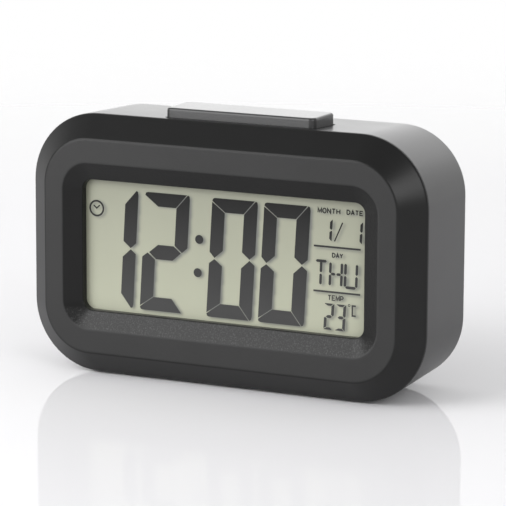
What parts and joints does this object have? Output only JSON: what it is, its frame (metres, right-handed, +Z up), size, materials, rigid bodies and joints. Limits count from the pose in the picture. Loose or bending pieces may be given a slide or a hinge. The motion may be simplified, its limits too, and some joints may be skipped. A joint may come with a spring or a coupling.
{
  "type": "digital alarm clock",
  "caption": "Free-standing desk alarm clock with a large liquid-crystal time, day and date screen in a chamfered frame, a long snooze bar on top and a battery bay behind.",
  "frame": {"origin": "on the table under the middle of the clock, at the bottom centre of its bounding box", "axes": "+Z up, +X to the viewer's right when facing the screen, +Y from the screen to the back"},
  "size_m": [0.135, 0.042, 0.0863],
  "materials": {
    "bezel_plastic": "fine spark-eroded texture, near black",
    "case_plastic": "smooth satin, dark grey",
    "bar_plastic": "smooth satin, dark grey",
    "button_plastic": "satin, dark grey",
    "screen_film": "olive grey film of a reflective screen",
    "screen_glass": "clear thin glass",
    "white_plastic": "white moulded plastic",
    "clear_plastic": "clear acrylic plate",
    "lamp_resin": "milky lamp resin",
    "soft_rubber": "banded silicone",
    "foot_rubber": "black rubber",
    "board_laminate": "green coated laminate",
    "screw_steel": "black passivated steel",
    "black_resin": "cast black resin",
    "bright_can": "drawn bright can",
    "capacitor_sleeve": "dark blue sleeve",
    "switch_housing": "black moulded housing",
    "switch_stem": "moulded stem",
    "cell_jacket": "plain printed jacket",
    "contact_nickel": "nickel-plated strip",
    "buzzer_brass": "thin brass disc",
    "lead_jacket": "soft wire insulation",
    "ribbon_film": "flat film cable"
  },
  "bodies": {
    "root": {"front_bezel": "bezel_plastic", "rear_case": "case_plastic", "polariser_films": "screen_film", "lcd_front_glass": "screen_glass", "lcd_rear_glass": "screen_glass", "lcd_frame": "white_plastic", "light_guide": "clear_plastic", "reflector_sheet": "white_plastic", "backlight_lamps": "lamp_resin", "zebra_strip": "soft_rubber", "main_board": "board_laminate", "board_screws": "screw_steel", "clock_chip": "black_resin", "crystal": "bright_can", "capacitors": "capacitor_sleeve", "thermistor": "black_resin", "snooze_switch": "switch_housing", "button_board": "board_laminate", "button_board_screws": "screw_steel", "button_switches": "switch_housing", "alarm_switch_base": "switch_housing", "battery_cells": "cell_jacket", "battery_contacts": "contact_nickel", "battery_springs": "contact_nickel", "buzzer": "buzzer_brass", "case_screws": "screw_steel", "rubber_feet": "foot_rubber", "battery_leads": "lead_jacket", "buzzer_leads": "lead_jacket", "board_ribbon": "ribbon_film"},
    "snooze_bar": {"snooze_bar": "bar_plastic", "snooze_stem": "switch_stem"},
    "alarm_switch": {"alarm_switch_cap": "button_plastic", "alarm_switch_lever": "switch_stem"},
    "battery_door": {"battery_door": "case_plastic"},
    "mode_button": {"mode_button": "button_plastic", "mode_switch_stem": "switch_stem"},
    "set_button": {"set_button": "button_plastic", "set_switch_stem": "switch_stem"},
    "up_button": {"up_button": "button_plastic", "up_switch_stem": "switch_stem"},
    "down_button": {"down_button": "button_plastic", "down_switch_stem": "switch_stem"}
  },
  "joints": [
    {"name": "snooze_press", "type": "slide", "parent": "root", "child": "snooze_bar", "axis": [0, 0, -1], "range_m": [0, 0.0008], "stiffness_N_per_m": 3000, "springref_m": -0.0004},
    {"name": "mode_press", "type": "slide", "parent": "root", "child": "mode_button", "axis": [0, -1, 0], "range_m": [0, 0.0005], "stiffness_N_per_m": 3000, "springref_m": -0.0003},
    {"name": "set_press", "type": "slide", "parent": "root", "child": "set_button", "axis": [0, -1, 0], "range_m": [0, 0.0005], "stiffness_N_per_m": 3000, "springref_m": -0.0003},
    {"name": "up_press", "type": "slide", "parent": "root", "child": "up_button", "axis": [0, -1, 0], "range_m": [0, 0.0005], "stiffness_N_per_m": 3000, "springref_m": -0.0003},
    {"name": "down_press", "type": "slide", "parent": "root", "child": "down_button", "axis": [0, -1, 0], "range_m": [0, 0.0005], "stiffness_N_per_m": 3000, "springref_m": -0.0003},
    {"name": "alarm_slide", "type": "slide", "parent": "root", "child": "alarm_switch", "axis": [1, 0, 0], "range_m": [0, 0.003]},
    {"name": "door_hinge", "type": "hinge", "parent": "root", "child": "battery_door", "pos_m": [0, 0.02, 0.008], "axis": [-1, 0, 0], "range_deg": [0, 75]}
  ]
}
